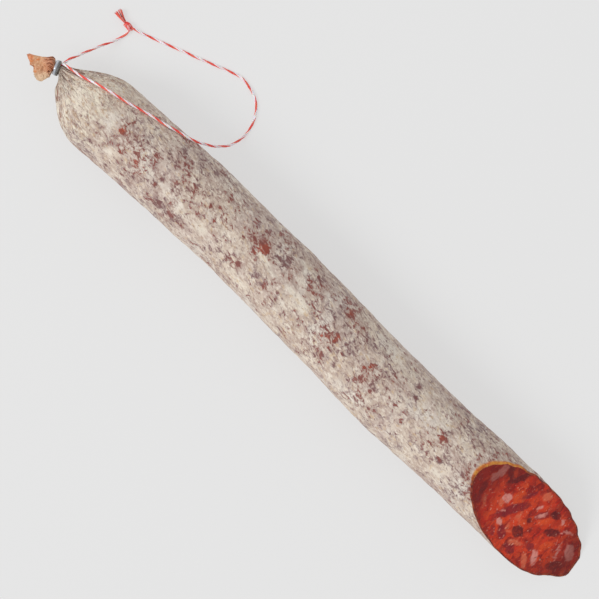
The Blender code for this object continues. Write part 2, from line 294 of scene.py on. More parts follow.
def radius_at(station):
    """The casing's radius at a distance from the clip, towards the cut."""
    along = (station - NECK_HALF) / SHOULDER_LENGTH
    if along <= 0:
        return NECK_RADIUS
    return NECK_RADIUS + (RADIUS - NECK_RADIUS) * (1 - max(0.0, 1 - along) ** SHOULDER_POWER)


def unevenness(station, angle):
    """Slow swells of the body, as a share of its radius: none at the neck."""
    swell = SWELL * math.sin(station / SWELL_PITCH + 1.5 * math.sin(angle))
    swell += CROSS_SWELL * math.sin(station / CROSS_SWELL_PITCH - 2 * angle)
    return swell * ramp(station, SWELL_START, SWELL_FULL)


def straight_place(station, angle):
    """Where a spot of the skin lies on a straight tube of the body's full radius."""
    return Vector((station, RADIUS * math.cos(angle), RADIUS * math.sin(angle)))


def lumps(station, angle):
    """Soft dents and bulges that the meat presses into the casing."""
    at = straight_place(station, angle)
    uneven = LUMP * noise.noise(at * LUMP_SCALE) + EDGE_WAVE * noise.noise(at * EDGE_WAVE_SCALE)
    uneven *= ramp(station, SWELL_START, SWELL_FULL)
    off = (math.degrees(angle) % 360 - DENT_ANGLE) / DENT_REACH
    uneven -= DENT_DEPTH * math.exp(-off * off) * ramp(station, DENT_START, DENT_FULL)
    ripple = math.sin(RIPPLES * angle + 1.3 * math.sin(3 * angle)) * ramp(math.cos(angle), 0.1, 0.7)
    return uneven + RIPPLE_DEPTH * ripple * ramp(station, RIPPLE_START, RIPPLE_FULL)


def body_point(station, angle, inset, fold=0.0):
    """A point of the body: station along it, angle around it, inset from the casing's outside."""
    x = CLIP_CENTRE.x + station
    yaw = CLIP_YAW * (1 - ramp(station, NECK_HALF, NECK_HALF + YAW_FADE))
    reach = (radius_at(station) - inset) * (1 + unevenness(station, angle)) + lumps(station, angle) + fold
    point = Vector((x, sway_at(x), AXIS_HEIGHT))
    point.x -= math.sin(yaw) * reach * math.cos(angle)
    point.y += math.cos(yaw) * reach * math.cos(angle)
    point.z = max(inset, point.z + reach * math.sin(angle))
    return point


def cut_station(angle, inset):
    """How far from the clip the slanted cut meets the body at an angle around it."""
    station = CUT_STATION
    for _ in range(6):
        station -= (body_point(station, angle, inset) - CUT_POINT).dot(CUT_NORMAL) / CUT_NORMAL.x
    return station


def turned_skin(rings, steps, place):
    """A closed skin: rings turned round an axis from pole to pole, each point then put in its place."""
    work = bmesh.new()
    line = [work.verts.new((0.0 if ring in (0, rings) else 1.0, 0.0, ring)) for ring in range(rings + 1)]
    spokes = [work.edges.new(pair) for pair in zip(line, line[1:])]
    axis = {"cent": (0, 0, 0), "axis": (0, 0, 1)}
    bmesh.ops.spin(work, geom=line + spokes, angle=2 * math.pi, steps=steps, use_merge=True, **axis)
    bmesh.ops.remove_doubles(work, verts=work.verts, dist=0.001)
    work.verts.index_update()
    for vertex in work.verts:
        vertex.co = place(vertex.index, round(vertex.co.z), math.atan2(vertex.co.y, vertex.co.x))
    bmesh.ops.recalc_face_normals(work, faces=work.faces)
    return work


def shown(name, work, material, nodes):
    """A finished piece from a bmesh: smooth, riding on the body, in place of its CAD nodes."""
    mesh = bpy.data.meshes.new(name)
    work.to_mesh(mesh)
    work.free()
    mesh.shade_smooth()
    mesh.materials.append(material)
    obj = bpy.data.objects.new(name, mesh)
    bpy.context.scene.collection.objects.link(obj)
    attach(obj, "root")
    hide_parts(*nodes)
    return obj


def colour(red, green, blue):
    """A colour given as it looks, from 0 to 255, as the shader's linear values."""
    levels = [level / 255 for level in (red, green, blue)]
    return (*[v / 12.92 if v <= 0.04045 else ((v + 0.055) / 1.055) ** 2.4 for v in levels], 1.0)


def node(tree, kind, *values, settings=None, **inputs):
    """Adds a shader node. Values fill its sockets in order, inputs by name; sockets are linked."""
    made = tree.nodes.new("ShaderNode" + kind)
    for name, value in (settings or {}).items():
        setattr(made, name, value)
    filled = list(zip(made.inputs, values))
    filled += [(made.inputs[name.replace("_", " ")], value) for name, value in inputs.items()]
    for socket, value in filled:
        if isinstance(value, bpy.types.NodeSocket):
            tree.links.new(value, socket)
        else:
            socket.default_value = value
    return made


def maths(tree, operation, *values):
    return node(tree, "Math", *values, settings={"operation": operation}).outputs[0]


def stain(tree, share, under, over):
    """The colour over laid on the colour under, by share."""
    made = node(tree, "Mix", settings={"data_type": "RGBA"})
    for index, value in ((0, share), (6, under), (7, over)):
        if isinstance(value, bpy.types.NodeSocket):
            tree.links.new(value, made.inputs[index])
        else:
            made.inputs[index].default_value = value
    return made.outputs[2]


def step_up(tree, value, start, end, low=0.0, high=1.0):
    """A soft step of value: low before start, high past end."""
    made = node(tree, "MapRange", value, start, end, low, high, settings={"interpolation_type": "SMOOTHSTEP"})
    return made.outputs[0]


def stretched(tree, at, scale, turn=(0.0, 0.0, 0.0)):
    return node(tree, "Mapping", Vector=at, Rotation=turn, Scale=scale).outputs[0]


def grain_node(tree, at, scale, detail, roughness):
    return node(tree, "TexNoise", Vector=at, Scale=scale, Detail=detail, Roughness=roughness)


def grain(tree, at, scale, detail=2.0, roughness=0.5):
    return grain_node(tree, at, scale, detail, roughness).outputs[0]


def curled(tree, at, scale, detail, roughness, distortion):
    """Noise drawn out into curls, as dried mould and fibres lie."""
    made = grain_node(tree, at, scale, detail, roughness)
    made.inputs["Distortion"].default_value = distortion
    return made.outputs[0]


def attribute(tree, name, output="Fac"):
    made = node(tree, "Attribute", settings={"attribute_name": name})
    return made.outputs[output]


def mottle_group():
    """Shared effect: patches of a noise between two levels. Finishes use it for fat, film and mould."""
    group = bpy.data.node_groups.new("mottle", "ShaderNodeTree")
    group.interface.new_socket("Vector", in_out="INPUT", socket_type="NodeSocketVector")
    for name in ("Scale", "Detail", "Start", "End"):
        group.interface.new_socket(name, in_out="INPUT", socket_type="NodeSocketFloat")
    group.interface.new_socket("Mask", in_out="OUTPUT", socket_type="NodeSocketFloat")
    given = group.nodes.new("NodeGroupInput").outputs
    made = grain(group, given["Vector"], given["Scale"], given["Detail"], 0.6)
    mask = step_up(group, made, given["Start"], given["End"])
    group.links.new(mask, group.nodes.new("NodeGroupOutput").inputs["Mask"])
    return group


MOTTLE = mottle_group()


def mottle(tree, at, scale, start, end, detail=3.0):
    made = node(tree, "Group", settings={"node_tree": MOTTLE})
    tree.links.new(at, made.inputs["Vector"])
    for name, value in (("Scale", scale), ("Detail", detail), ("Start", start), ("End", end)):
        made.inputs[name].default_value = value
    return made.outputs["Mask"]


def bump(tree, height, distance, strength=1.0, under=None):
    made = node(tree, "Bump", Strength=strength, Distance=distance, Height=height)
    if under is not None:
        tree.links.new(under, made.inputs["Normal"])
    return made.outputs[0]


def filling_finish():
    material, tree, shader = new_finish("paprika_meat")
    at = node(tree, "TexCoord").outputs["Object"]
    drift = node(tree, "TexNoise", Vector=at, Scale=420.0, Detail=2.0).outputs["Color"]
    pushed = node(tree, "VectorMath", drift, (0.0022, 0.0022, 0.0022), at, settings={"operation": "MULTIPLY_ADD"})
    smear = stretched(tree, pushed.outputs[0], (1.0, 0.50, 1.0), (0.0, 0.0, math.radians(-25)))
    core = attribute(tree, "core")

    paste = stain(tree, mottle(tree, smear, 260.0, 0.36, 0.62), colour(152, 26, 18), colour(196, 42, 22))
    chunks = node(tree, "TexVoronoi", Vector=smear, Scale=250.0, Randomness=1.0)
    pick = node(tree, "SeparateColor", chunks.outputs["Color"]).outputs[0]
    paste = stain(tree, step_up(tree, pick, 0.60, 0.95, 0.0, 0.65), paste, colour(214, 66, 26))
    paste = stain(tree, step_up(tree, pick, 0.40, 0.10, 0.0, 0.70), paste, colour(118, 20, 22))
    crumbs = node(tree, "TexVoronoi", Vector=smear, Scale=620.0, Randomness=1.0)
    crumb = node(tree, "SeparateColor", crumbs.outputs["Color"]).outputs[1]
    paste = stain(tree, step_up(tree, crumb, 0.62, 0.95, 0.0, 0.55), paste, colour(218, 78, 38))
    paste = stain(tree, step_up(tree, crumb, 0.30, 0.05, 0.0, 0.45), paste, colour(104, 18, 20))
    hot = maths(tree, "MULTIPLY", core, mottle(tree, smear, 170.0, 0.40, 0.60))
    paste = stain(tree, maths(tree, "MULTIPLY", hot, 0.74), paste, colour(232, 72, 36))

    ragged = maths(tree, "MULTIPLY", maths(tree, "SUBTRACT", grain(tree, smear, 900.0, 3.0), 0.5), 1.6)
    tones = (
        ("oily", colour(226, 82, 34), 0.70),
        ("muscle", colour(134, 30, 38), 0.85),
        ("lean", colour(92, 18, 24), 0.90),
        ("stained_fat", colour(220, 108, 76), 0.80),
        # The fat tone also colours the thin glint streaks listed among the fat pieces: painted highlights
        ("fat", colour(224, 146, 134), 0.95),
    )
    for name, tone, cover in tones:
        depth = maths(tree, "ADD", attribute(tree, name), ragged)
        streaky = stain(tree, mottle(tree, smear, 620.0, 0.42, 0.70), tone, paste)
        toned = stain(tree, 0.35, tone, streaky)
        paste = stain(tree, step_up(tree, depth, -0.35, 0.60, 0.0, cover), paste, toned)
    # Pale pink specks: partly specks of fat, partly painted highlights, the small wet glints of the cut face
    fat_specks_and_glints = mottle(tree, smear, 900.0, 0.62, 0.70)
    paste = stain(tree, maths(tree, "MULTIPLY", fat_specks_and_glints, 0.65), paste, colour(240, 166, 144))
    pits = mottle(tree, smear, 520.0, 0.60, 0.72)
    paste = stain(tree, maths(tree, "MULTIPLY", pits, 0.55), paste, colour(78, 10, 12))
    dried = maths(tree, "ADD", core, maths(tree, "MULTIPLY", grain(tree, smear, 300.0), 0.25))
    paste = stain(tree, step_up(tree, dried, 0.62, 0.16, 0.0, 0.68), paste, colour(108, 24, 20))
    tree.links.new(paste, shader.inputs["Base Color"])
    wet = grain(tree, at, 500.0, 2.0)
    tree.links.new(step_up(tree, wet, 0.35, 0.65, 0.22, 0.48), shader.inputs["Roughness"])
    coarse = bump(tree, chunks.outputs["Distance"], 0.0006, 0.5)
    rounded = bump(tree, crumbs.outputs["Distance"], 0.0003, 0.5, coarse)
    tree.links.new(bump(tree, grain(tree, at, 1500.0, 3.0), 0.00012, 0.7, rounded), shader.inputs["Normal"])
    shader.inputs["Specular IOR Level"].default_value = 0.22
    shader.inputs["Coat Weight"].default_value = 0.10
    shader.inputs["Coat Roughness"].default_value = 0.12
    return material


def piece_depths(x, y, pieces):
    """How deep each spot lies inside the nearest of the pieces, in mm: negative outside all."""
    best = np.full(len(x), -PIECE_REACH)
    for px, py, half_length, half_width, turn in pieces:
        cos, sin = math.cos(math.radians(turn)), math.sin(math.radians(turn))
        along = np.abs(((x - px) * cos + (y - py) * sin) / half_length) ** PIECE_POWER
        across = np.abs((-(x - px) * sin + (y - py) * cos) / half_width) ** PIECE_POWER
        depth = (1 - (along + across) ** (1 / PIECE_POWER)) * min(half_length, half_width)
        best = np.maximum(best, depth)
    return np.clip(best, -PIECE_REACH, PIECE_REACH) * 1000


def filling():
    edge_stations = {}

    def place(_, ring, angle):
        key = round(angle, 4)
        if key not in edge_stations:
            edge_stations[key] = cut_station(angle, CASING_WALL - FILLING_BITE)
        end = edge_stations[key]
        if ring <= FACE_RINGS:
            edge = body_point(end, angle, CASING_WALL - FILLING_BITE)
            return CUT_POINT.lerp(edge, ring / FACE_RINGS)
        share = (ring - FACE_RINGS) / SIDE_RINGS
        station = blend(end, FILLING_START, share ** 1.3)
        if share >= 1:
            return Vector((CLIP_CENTRE.x + station, sway_at(CLIP_CENTRE.x + station), AXIS_HEIGHT))
        return body_point(station, angle, CASING_WALL - FILLING_BITE)

    work = turned_skin(FACE_RINGS + SIDE_RINGS, FACE_STEPS, place)
    for vertex in work.verts:
        off_face = abs((vertex.co - CUT_POINT).dot(CUT_NORMAL))
        if off_face < 0.0001:
            inner = ramp((vertex.co - CUT_POINT).length, 0.0, 0.001)
            bumps = noise.noise(vertex.co * FACE_BUMP_SCALE) + 0.5 * noise.noise(vertex.co * FACE_BUMP_SCALE * 2.7)
            vertex.co += CUT_NORMAL * FACE_BUMPS * bumps * inner
    obj = shown("cured_filling", work, filling_finish(), ["filling"])
    mesh = obj.data
    places = np.array([vertex.co for vertex in mesh.vertices])
    warp = np.array([noise.noise_vector(Vector(p) * PIECE_WARP_SCALE) for p in places]) * PIECE_WARP
    x, y = places[:, 0] + warp[:, 0], places[:, 1] + warp[:, 1]
    kinds = (
        # The fat attribute also carries the thin glint streaks: painted highlights
        ("fat", FAT_AND_GLINT_PIECES),
        ("stained_fat", STAINED_FAT_PIECES),
        ("lean", LEAN_PIECES),
        ("muscle", MUSCLE_PIECES),
        ("oily", OILY_PIECES),
    )
    for name, pieces in kinds:
        layer = mesh.attributes.new(name, "FLOAT", "POINT")
        layer.data.foreach_set("value", piece_depths(x, y, pieces).astype(np.float32))
    across = places - np.array(CUT_POINT)
    across[:, 0] *= CUT_NORMAL.z
    core = mesh.attributes.new("core", "FLOAT", "POINT")
    core.data.foreach_set("value", np.clip(1 - np.linalg.norm(across, axis=1) / FACE_REACH, 0, 1).astype(np.float32))


filling()


# ------------------------------------------------------------------ the casing
# A natural skin, shrunk onto the meat and covered in a felt of cream mould. It is worn through
# to the red-brown skin in strokes and spots, and gathered in pleats into the clip at one end.
PLEATS = 8
PLEAT_DEPTH = 0.13
PLEAT_FULL = 0.0041
PLEAT_END = 0.0240
FOLDS = 19
FOLD_DEPTH = 0.10
FOLD_END = 0.0330
VALLEY_DARK = 0.005
VALLEY_PALE = 0.015
SKIN_TWIST = 9.0
WRINKLE = 0.00016
WRINKLE_LONG = 38.0
WRINKLE_CLOSE = 300.0
CASING_STEPS = 224
SHOULDER_RINGS = 62
BODY_RINGS = 360
RIM_RINGS = 3
INNER_RINGS = 10
RIM_CURL = 0.00018
OCHRE_ANGLE = math.radians(62)
OCHRE_FROM = 0.70
OCHRE_FULL = 0.93
# Bumps and pits of the bunched skin behind the clip: x, y, height and reach
KNUCKLES = (
    (-0.1767, -0.0004, 0.0011, 0.0026),
    (-0.1711, -0.0002, 0.0009, 0.0030),
    (-0.1741, -0.0002, -0.0012, 0.0017),
)
WEAR_BETWEEN = 0.0
CRUMBS_FULL = 0.020
CRUMBS_END = 0.060
WEAR_FADE = 0.006

# The larger patches where the mould has rubbed off, or below nought grown thicker, in millimetres and degrees:
# x, place across the top, length, width, turn, how bare, how red
RUBBED = (
    (-176, -8, 10, 1.6, -36, 0.8, 0.5),
    (-134.5, 8.2, 2.2, 3.4, 0, 1.3, 0.6),
    (-136.4, 0.2, 3, 2.2, -10, 1.6, 1.1),
    (-128.8, -8.7, 3.2, 1.8, -25, 1.6, 0.9),
    (-116.9, -14.3, 7, 2.2, 0, 0.8, 0),
    (-104, 15, 9, 5.5, 0, 0.55, -0.2),
    (-103, 7, 9, 4.5, 0, 0.45, -0.1),
    (-102.5, -4.6, 2.4, 2.4, 0, 1.3, 0.6),
    (-103.5, -9, 2, 2.4, 0, 1.6, 0.9),
    (-94.1, -16, 7.5, 4, -25, 0.8, 0.1),
    (-87.2, -16, 5.5, 3, -15, 0.8, 0.3),
    (-73.9, 2.4, 1.7, 3.6, 0, 1.4, 0.8),
    (-67, -2.4, 3.4, 1.7, -40, 1.3, 0.7),
    (-48, -11.5, 6, 3.4, -10, 1.1, 0),
    (-42.2, -9.8, 3, 2.6, 0, 1.5, 0.1),
    (-46.5, 5.5, 4.6, 4.6, 0, 0.8, -0.5),
    (-41.5, 8, 8, 5.5, 0, 0.95, -0.1),
    (-36.6, 6.6, 5.6, 4.6, 0, 1.3, 0.8),
    (-36, 4.8, 2.8, 1.7, 0, 1.4, 1.4),
    (-26.8, 10.6, 6, 2.8, -10, 0.9, -0.2),
    (-26.8, 7.6, 7, 3.6, 10, 0.8, -0.5),
    (-29.7, -8.2, 9, 3.6, -20, 0.7, -0.1),
    (-23.8, -9, 5.5, 3.4, -20, 0.8, -0.2),
    (-14.8, -9, 5, 4, -40, 0.7, -0.2),
    (-39.7, -19, 3.2, 1.3, 0, 0.7, 1),
    (-4, 15.2, 5, 3.6, 0, 0.6, -0.1),
    (20.6, 13.9, 4.4, 3.6, 0, 1.5, 0.35),
    (23.7, 1.3, 3, 1.7, -10, 1.6, 1.4),
    (24.2, -1.6, 2, 4, 0, 1.6, 1.5),
    (20.3, -3, 5, 4, 0, 0.6, 0.3),
    (17.3, -5, 2.6, 1.8, 0, 0.8, 1),
    (18.8, -7, 3.5, 1.5, 0, 0.8, 0.9),
    (24.2, -7.4, 3.4, 1.3, 0, 1.4, 1),
    (31.7, -4.2, 3.2, 1.5, -5, 1.6, 1.4),
    (33.7, 0, 4.6, 3.6, 0, 0.7, -0.2),
    (23.7, -12.9, 8, 4.6, -20, 0.6, -0.1),
    (20.8, -16.3, 7, 3.4, -25, 0.5, -0.2),
    (45.5, -0.2, 2.6, 1.5, 35, 1.5, 1.2),
    (47.8, 2.7, 2.3, 3.6, 0, 0.8, 1),
    (74, 12.9, 4, 2.6, 10, 1.4, 0.4),
    (76.2, 7.6, 2.8, 2, -15, 1.3, 0.4),
    (98.9, -4.8, 3.2, 2, 0, 1.5, 0.4),
    (101.9, 1.8, 3.2, 2.3, 0, 1.7, 1),
    (108.4, -8, 4.2, 1.7, -20, 1.7, 0.8),
    (126, -5.6, 5, 3.6, -50, 0.7, -0.2),
    (131.1, -12.5, 2.8, 2.2, 10, 1.4, 0.5),
    (126.7, -17, 7, 3.6, 0, 0.5, -0.1),
    (-163, -1, 20, 22, 0, -0.8, 0.3),
    (-163.5, -14, 12, 4, -40, -0.8, 0),
    (-154, 15, 22, 9, 10, -0.8, 0.2),
    (-146, 4, 12, 12, 0, -0.5, 0.2),
    (-133.7, -12.5, 8, 5, 0, -1, 0),
    (-141, -1, 6, 5, 0, -0.7, 0),
    (-96, -9, 10, 3.4, 0, -0.9, 0),
    (-69.3, -10.5, 14, 7, 0, -1, 0),
    (-85, -9.5, 7, 5, 0, -0.8, 0),
    (-59, 9.5, 9, 9, 0, -0.7, 0),
    (-32.5, 1.5, 11, 3, 0, -1, 0),
    (-25, -1, 12, 4, 0, -0.9, 0),
    (-12, 7, 8, 5, 0, -0.9, 0),
    (-11, 0, 12, 5, 0, -1, 0),
    (0, -2, 11, 7, 0, -1.1, 0),
    (-34.5, -16.5, 14, 4, 0, -0.9, 0),
    (-16, 15, 12, 3, 0, -0.8, 0),
    (35, -17, 7, 4.5, 0, -0.9, 0),
    (49, 9, 8, 4, 0, -0.7, 0),
    (43, 5, 6, 5, 0, -0.8, 0),
    (9, -13, 9, 4, 0, -0.7, 0),
    (57, 15.5, 8, 5, 0, -0.7, 0),
    (89, -4, 6, 7, 0, -0.8, 0),
    (95, 6, 6, 9, 0, -0.7, 0),
    (112, -14.5, 11, 6, 0, -1, 0),
    (108, 7.5, 7, 5, 0, -0.8, 0),
    (82, 16, 9, 5, 0, -0.6, 0),
)


def pleating(station, angle):
    """How far the gathers near the clip pull the casing in, as a share of its radius."""
    reach = ramp(station, NECK_HALF, PLEAT_FULL) * (1 - ramp(station, PLEAT_FULL, PLEAT_END))
    wave = 0.5 + 0.5 * math.cos(PLEATS * angle + 0.9 * math.sin(2 * angle))
    return PLEAT_DEPTH * reach * wave


def folding(station, angle):
    """Depth of the narrow folds between the pleats, from 0 to 1: sharp valleys, uneven in width."""
    drift = noise.noise(Vector((math.cos(angle) * 1.6, math.sin(angle) * 1.6, station * 30)))
    wave = 0.5 + 0.5 * math.cos(FOLDS * (angle + 0.22 * drift))
    patchy = 0.65 + 0.7 * noise.noise(Vector((math.cos(angle) * 3.1, math.sin(angle) * 3.1, 7.0 + station * 60)))
    reach = ramp(station, NECK_HALF, PLEAT_FULL) * (1 - ramp(station, PLEAT_FULL, FOLD_END))
    return wave ** 2.5 * max(0.0, patchy) * reach


def skin_place(station, angle):
    """Where a spot lay on the straight skin before it twisted in drying."""
    return straight_place(station, angle - SKIN_TWIST * station)


def skin_relief(station, angle, point):
    """Fine wrinkles along the skin, and the knuckles behind the clip."""
    at = skin_place(station, angle)
    crease = noise.noise(Vector((at.x * WRINKLE_LONG, at.y * WRINKLE_CLOSE, at.z * WRINKLE_CLOSE)))
    relief = WRINKLE * (0.4 - abs(crease) * 2) * ramp(station, NECK_HALF, PLEAT_FULL)
    if station < SHOULDER_LENGTH and point.z > AXIS_HEIGHT:
        for x, y, height, reach in KNUCKLES:
            relief += height * math.exp(-((point.x - x) ** 2 + (point.y - y) ** 2) / reach**2)
    return relief


def casing_finish():
    material, tree, shader = new_finish("mouldy_casing")
    skin = attribute(tree, "skin", "Vector")
    at = node(tree, "TexCoord").outputs["Object"]
    grains = stretched(tree, skin, (0.62, 1.0, 1.0))
    fibres = stretched(tree, skin, (0.14, 1.0, 1.0))

    mould = stain(tree, mottle(tree, grains, 150.0, 0.38, 0.62), colour(222, 207, 190), colour(197, 176, 160))
    mauve = maths(tree, "MULTIPLY", mottle(tree, skin, 40.0, 0.46, 0.60, 4.0), 0.50)
    mould = stain(tree, mauve, mould, colour(186, 164, 158))
    pale = maths(tree, "MULTIPLY", mottle(tree, skin, 52.0, 0.54, 0.66, 2.0), 0.60)
    mould = stain(tree, pale, mould, colour(232, 224, 212))
    spared = step_up(tree, attribute(tree, "worn"), -0.35, -1.0, 0.0, 0.75)
    mould = stain(tree, spared, mould, colour(234, 224, 208))
    straw = maths(tree, "MULTIPLY", mottle(tree, grains, 430.0, 0.56, 0.68), 0.60)
    mould = stain(tree, straw, mould, colour(204, 172, 130))
    fluff = maths(tree, "MULTIPLY", mottle(tree, grains, 620.0, 0.50, 0.64), 0.50)
    mould = stain(tree, fluff, mould, colour(242, 232, 218))
    pits = maths(tree, "MULTIPLY", mottle(tree, grains, 760.0, 0.54, 0.66), 0.50)
    mould = stain(tree, pits, mould, colour(158, 128, 118))

    wide = maths(tree, "SUBTRACT", grain(tree, skin, 34.0, 2.0), 0.5)
    middle = maths(tree, "SUBTRACT", grain(tree, skin, 165.0, 3.0, 0.6), 0.5)
    fine = maths(tree, "SUBTRACT", curled(tree, grains, 560.0, 3.0, 0.65, 0.7), 0.5)
    wear = maths(tree, "ADD", maths(tree, "MULTIPLY", wide, 0.55), maths(tree, "MULTIPLY", middle, 0.80))
    wear = maths(tree, "ADD", wear, maths(tree, "MULTIPLY", fine, 1.60))
    wear = maths(tree, "ADD", wear, maths(tree, "MULTIPLY", attribute(tree, "worn"), 0.31))
    film = stain(tree, mottle(tree, skin, 80.0, 0.42, 0.58), colour(158, 134, 132), colour(172, 142, 130))
    surface = stain(tree, step_up(tree, wear, -0.05, 0.15, 0.0, 0.75), mould, film)
    bare = step_up(tree, wear, 0.15, 0.23)
    hue = maths(tree, "ADD", grain(tree, skin, 70.0, 2.0), maths(tree, "MULTIPLY", attribute(tree, "redness"), 0.30))
    worn = stain(tree, step_up(tree, hue, 0.44, 0.58), colour(134, 106, 103), colour(144, 82, 70))
    worn = stain(tree, step_up(tree, hue, 0.66, 0.82), worn, colour(180, 76, 42))
    worn = stain(tree, step_up(tree, wear, 0.24, 0.36, 0.0, 0.6), worn, colour(112, 52, 46))
    surface = stain(tree, bare, surface, worn)
    dots = maths(tree, "MULTIPLY", mottle(tree, grains, 1000.0, 0.60, 0.70), 0.45)
    surface = stain(tree, dots, surface, colour(124, 94, 88))

    crumbs = attribute(tree, "crumbs")
    clods = maths(tree, "SUBTRACT", curled(tree, grains, 480.0, 3.0, 0.55, 1.2), 0.5)
    clods = maths(tree, "MULTIPLY", clods, crumbs)
    # The crumbs on the shoulder are coloured by their height: pale tops, partly pale mould and partly painted
    # highlight, and hollows darkening through straw to brown, painted shade between the crumbs
    surface = stain(tree, step_up(tree, clods, 0.0, 0.10, 0.0, 0.75), surface, colour(240, 230, 208))
    surface = stain(tree, step_up(tree, clods, -0.05, -0.10, 0.0, 0.45), surface, colour(196, 162, 122))
    surface = stain(tree, step_up(tree, clods, -0.12, -0.18, 0.0, 0.70), surface, colour(126, 88, 70))

    # Darker red-brown in the valleys of the folds by the clip, strongest nearest it: painted shade in the creases
    valley_shade = attribute(tree, "valley_shade")
    surface = stain(tree, step_up(tree, valley_shade, 0.15, 0.75, 0.0, 0.85), surface, colour(132, 84, 66))
    thread = grain(tree, fibres, 1100.0, 2.0)
    surface = stain(tree, step_up(tree, thread, 0.54, 0.74, 0.0, 0.22), surface, colour(236, 226, 214))
    surface = stain(tree, step_up(tree, thread, 0.46, 0.26, 0.0, 0.18), surface, colour(128, 106, 100))

    rim = attribute(tree, "rim")
    stained = stain(tree, mottle(tree, at, 400.0, 0.42, 0.60), colour(112, 30, 20), colour(160, 66, 30))
    fresh = stain(tree, mottle(tree, at, 420.0, 0.42, 0.60), colour(216, 146, 58), colour(196, 104, 40))
    rim_tone = stain(tree, attribute(tree, "ochre"), stained, fresh)
    surface = stain(tree, rim, surface, rim_tone)
    tree.links.new(surface, shader.inputs["Base Color"])

    rough = step_up(tree, bare, 0.0, 1.0, 0.88, 0.55)
    tree.links.new(rough, shader.inputs["Roughness"])
    felt = bump(tree, curled(tree, grains, 800.0, 2.0, 0.55, 0.5), 0.00028, 0.5)
    worn_down = bump(tree, step_up(tree, wear, 0.30, -0.15), 0.00030, 0.7, felt)
    lumpy = bump(tree, grain(tree, grains, 330.0, 2.0), 0.0007, 0.7, worn_down)
    crumbly = bump(tree, clods, 0.0016, 0.8, lumpy)
    tree.links.new(crumbly, shader.inputs["Normal"])
    shader.inputs["Sheen Weight"].default_value = 0.10
    shader.inputs["Sheen Roughness"].default_value = 0.5
    return material


def wear_at(places):
    """How far the mould has rubbed off each place on top, and how red the meat shows there."""
    x = places[:, 0] * 1000
    across = (places[:, 1] - [sway_at(value) for value in places[:, 0]]) * 1000
    worn = np.zeros(len(places))
    redness = np.zeros(len(places))
    for middle, side, length, width, turn, bare, red in RUBBED:
        cos, sin = math.cos(math.radians(turn)), math.sin(math.radians(turn))
        along = ((x - middle) * cos + (across - side) * sin) * 2 / length
        beside = ((across - side) * cos - (x - middle) * sin) * 2 / width
        share = np.exp(-(along**2 + beside**2))
        worn += bare * share
        redness += red * share
    top = np.clip((places[:, 2] - AXIS_HEIGHT) / WEAR_FADE, 0, 1)
    return WEAR_BETWEEN + worn * top, redness * top


def casing():
    rings = SHOULDER_RINGS + BODY_RINGS
    last = rings + RIM_RINGS + INNER_RINGS
    straight = NECK_HALF + SHOULDER_LENGTH
    cuts = {}
    marks = {}

    def slanted(station, end):
        if station <= SLANT_START:
            return station
        return SLANT_START + (station - SLANT_START) * (end - SLANT_START) / (CUT_STATION - SLANT_START)

    def outside(station, angle):
        pleat = pleating(station, angle) + FOLD_DEPTH * folding(station, angle)
        plain = body_point(station, angle, 0.0, -pleat * radius_at(station))
        return body_point(station, angle, 0.0, skin_relief(station, angle, plain) - pleat * radius_at(station))

    def inside(station, angle):
        return body_point(station, angle, CASING_WALL, -pleating(station, angle) * radius_at(station))

    def place(index, ring, angle):
        key = round(angle, 4)
        if key not in cuts:
            end = cut_station(angle, 0.0)
            lip = outside(end, angle)
            lip.x -= (lip - CUT_POINT).dot(CUT_NORMAL) / CUT_NORMAL.x
            inner_end = cut_station(angle, CASING_WALL)
            cuts[key] = (end, lip, inner_end, inside(inner_end, angle))
        end, lip, inner_end, inner_lip = cuts[key]
        if ring == 0:
            return Vector(CLIP_CENTRE)
        if ring < rings:
            if ring <= SHOULDER_RINGS:
                station = straight * (ring / SHOULDER_RINGS)
            else:
                station = blend(straight, CUT_STATION, (ring - SHOULDER_RINGS) / BODY_RINGS)
            station = slanted(station, end)
            marks[index] = (station, angle)
            return outside(station, angle)
        if ring <= rings + RIM_RINGS:
            share = (ring - rings) / RIM_RINGS
            marks[index] = (end, angle)
            return lip.lerp(inner_lip, share) + CUT_NORMAL * RIM_CURL * math.sin(math.pi * share)
        share = (ring - rings - RIM_RINGS) / INNER_RINGS
        station = blend(inner_end, FILLING_START, share)
        if share >= 1:
            return Vector((CLIP_CENTRE.x + station, sway_at(CLIP_CENTRE.x + station), AXIS_HEIGHT))
        return inside(station, angle)

    work = turned_skin(last, CASING_STEPS, place)
    skin = work.verts.layers.float_vector.new("skin")
    valley_shade = work.verts.layers.float.new("valley_shade")
    rim = work.verts.layers.float.new("rim")
    ochre = work.verts.layers.float.new("ochre")
    worn = work.verts.layers.float.new("worn")
    redness = work.verts.layers.float.new("redness")
    crumbs = work.verts.layers.float.new("crumbs")
    work.verts.ensure_lookup_table()
    bareness = wear_at(np.array([work.verts[index].co for index in marks]))
    for (index, (station, angle)), bare, red in zip(marks.items(), *bareness):
        vertex = work.verts[index]
        vertex[worn], vertex[redness] = bare, red
        vertex[skin] = skin_place(station, angle)
        vertex[crumbs] = 1 - ramp(station, CRUMBS_FULL, CRUMBS_END)
        # Painted shade in the fold valleys: full near the clip, fading between VALLEY_DARK and VALLEY_PALE
        vertex[valley_shade] = folding(station, angle) * (1 - 0.8 * ramp(station, VALLEY_DARK, VALLEY_PALE))
        behind = -(vertex.co - CUT_POINT).dot(CUT_NORMAL)
        yellow = ramp(math.cos(angle - OCHRE_ANGLE), OCHRE_FROM, OCHRE_FULL)
        vertex[ochre] = yellow
        vertex[rim] = 1 - ramp(behind, 0.0001, blend(0.0003, 0.0009, yellow))
    shown("mouldy_casing", work, casing_finish(), ["casing"])


casing()


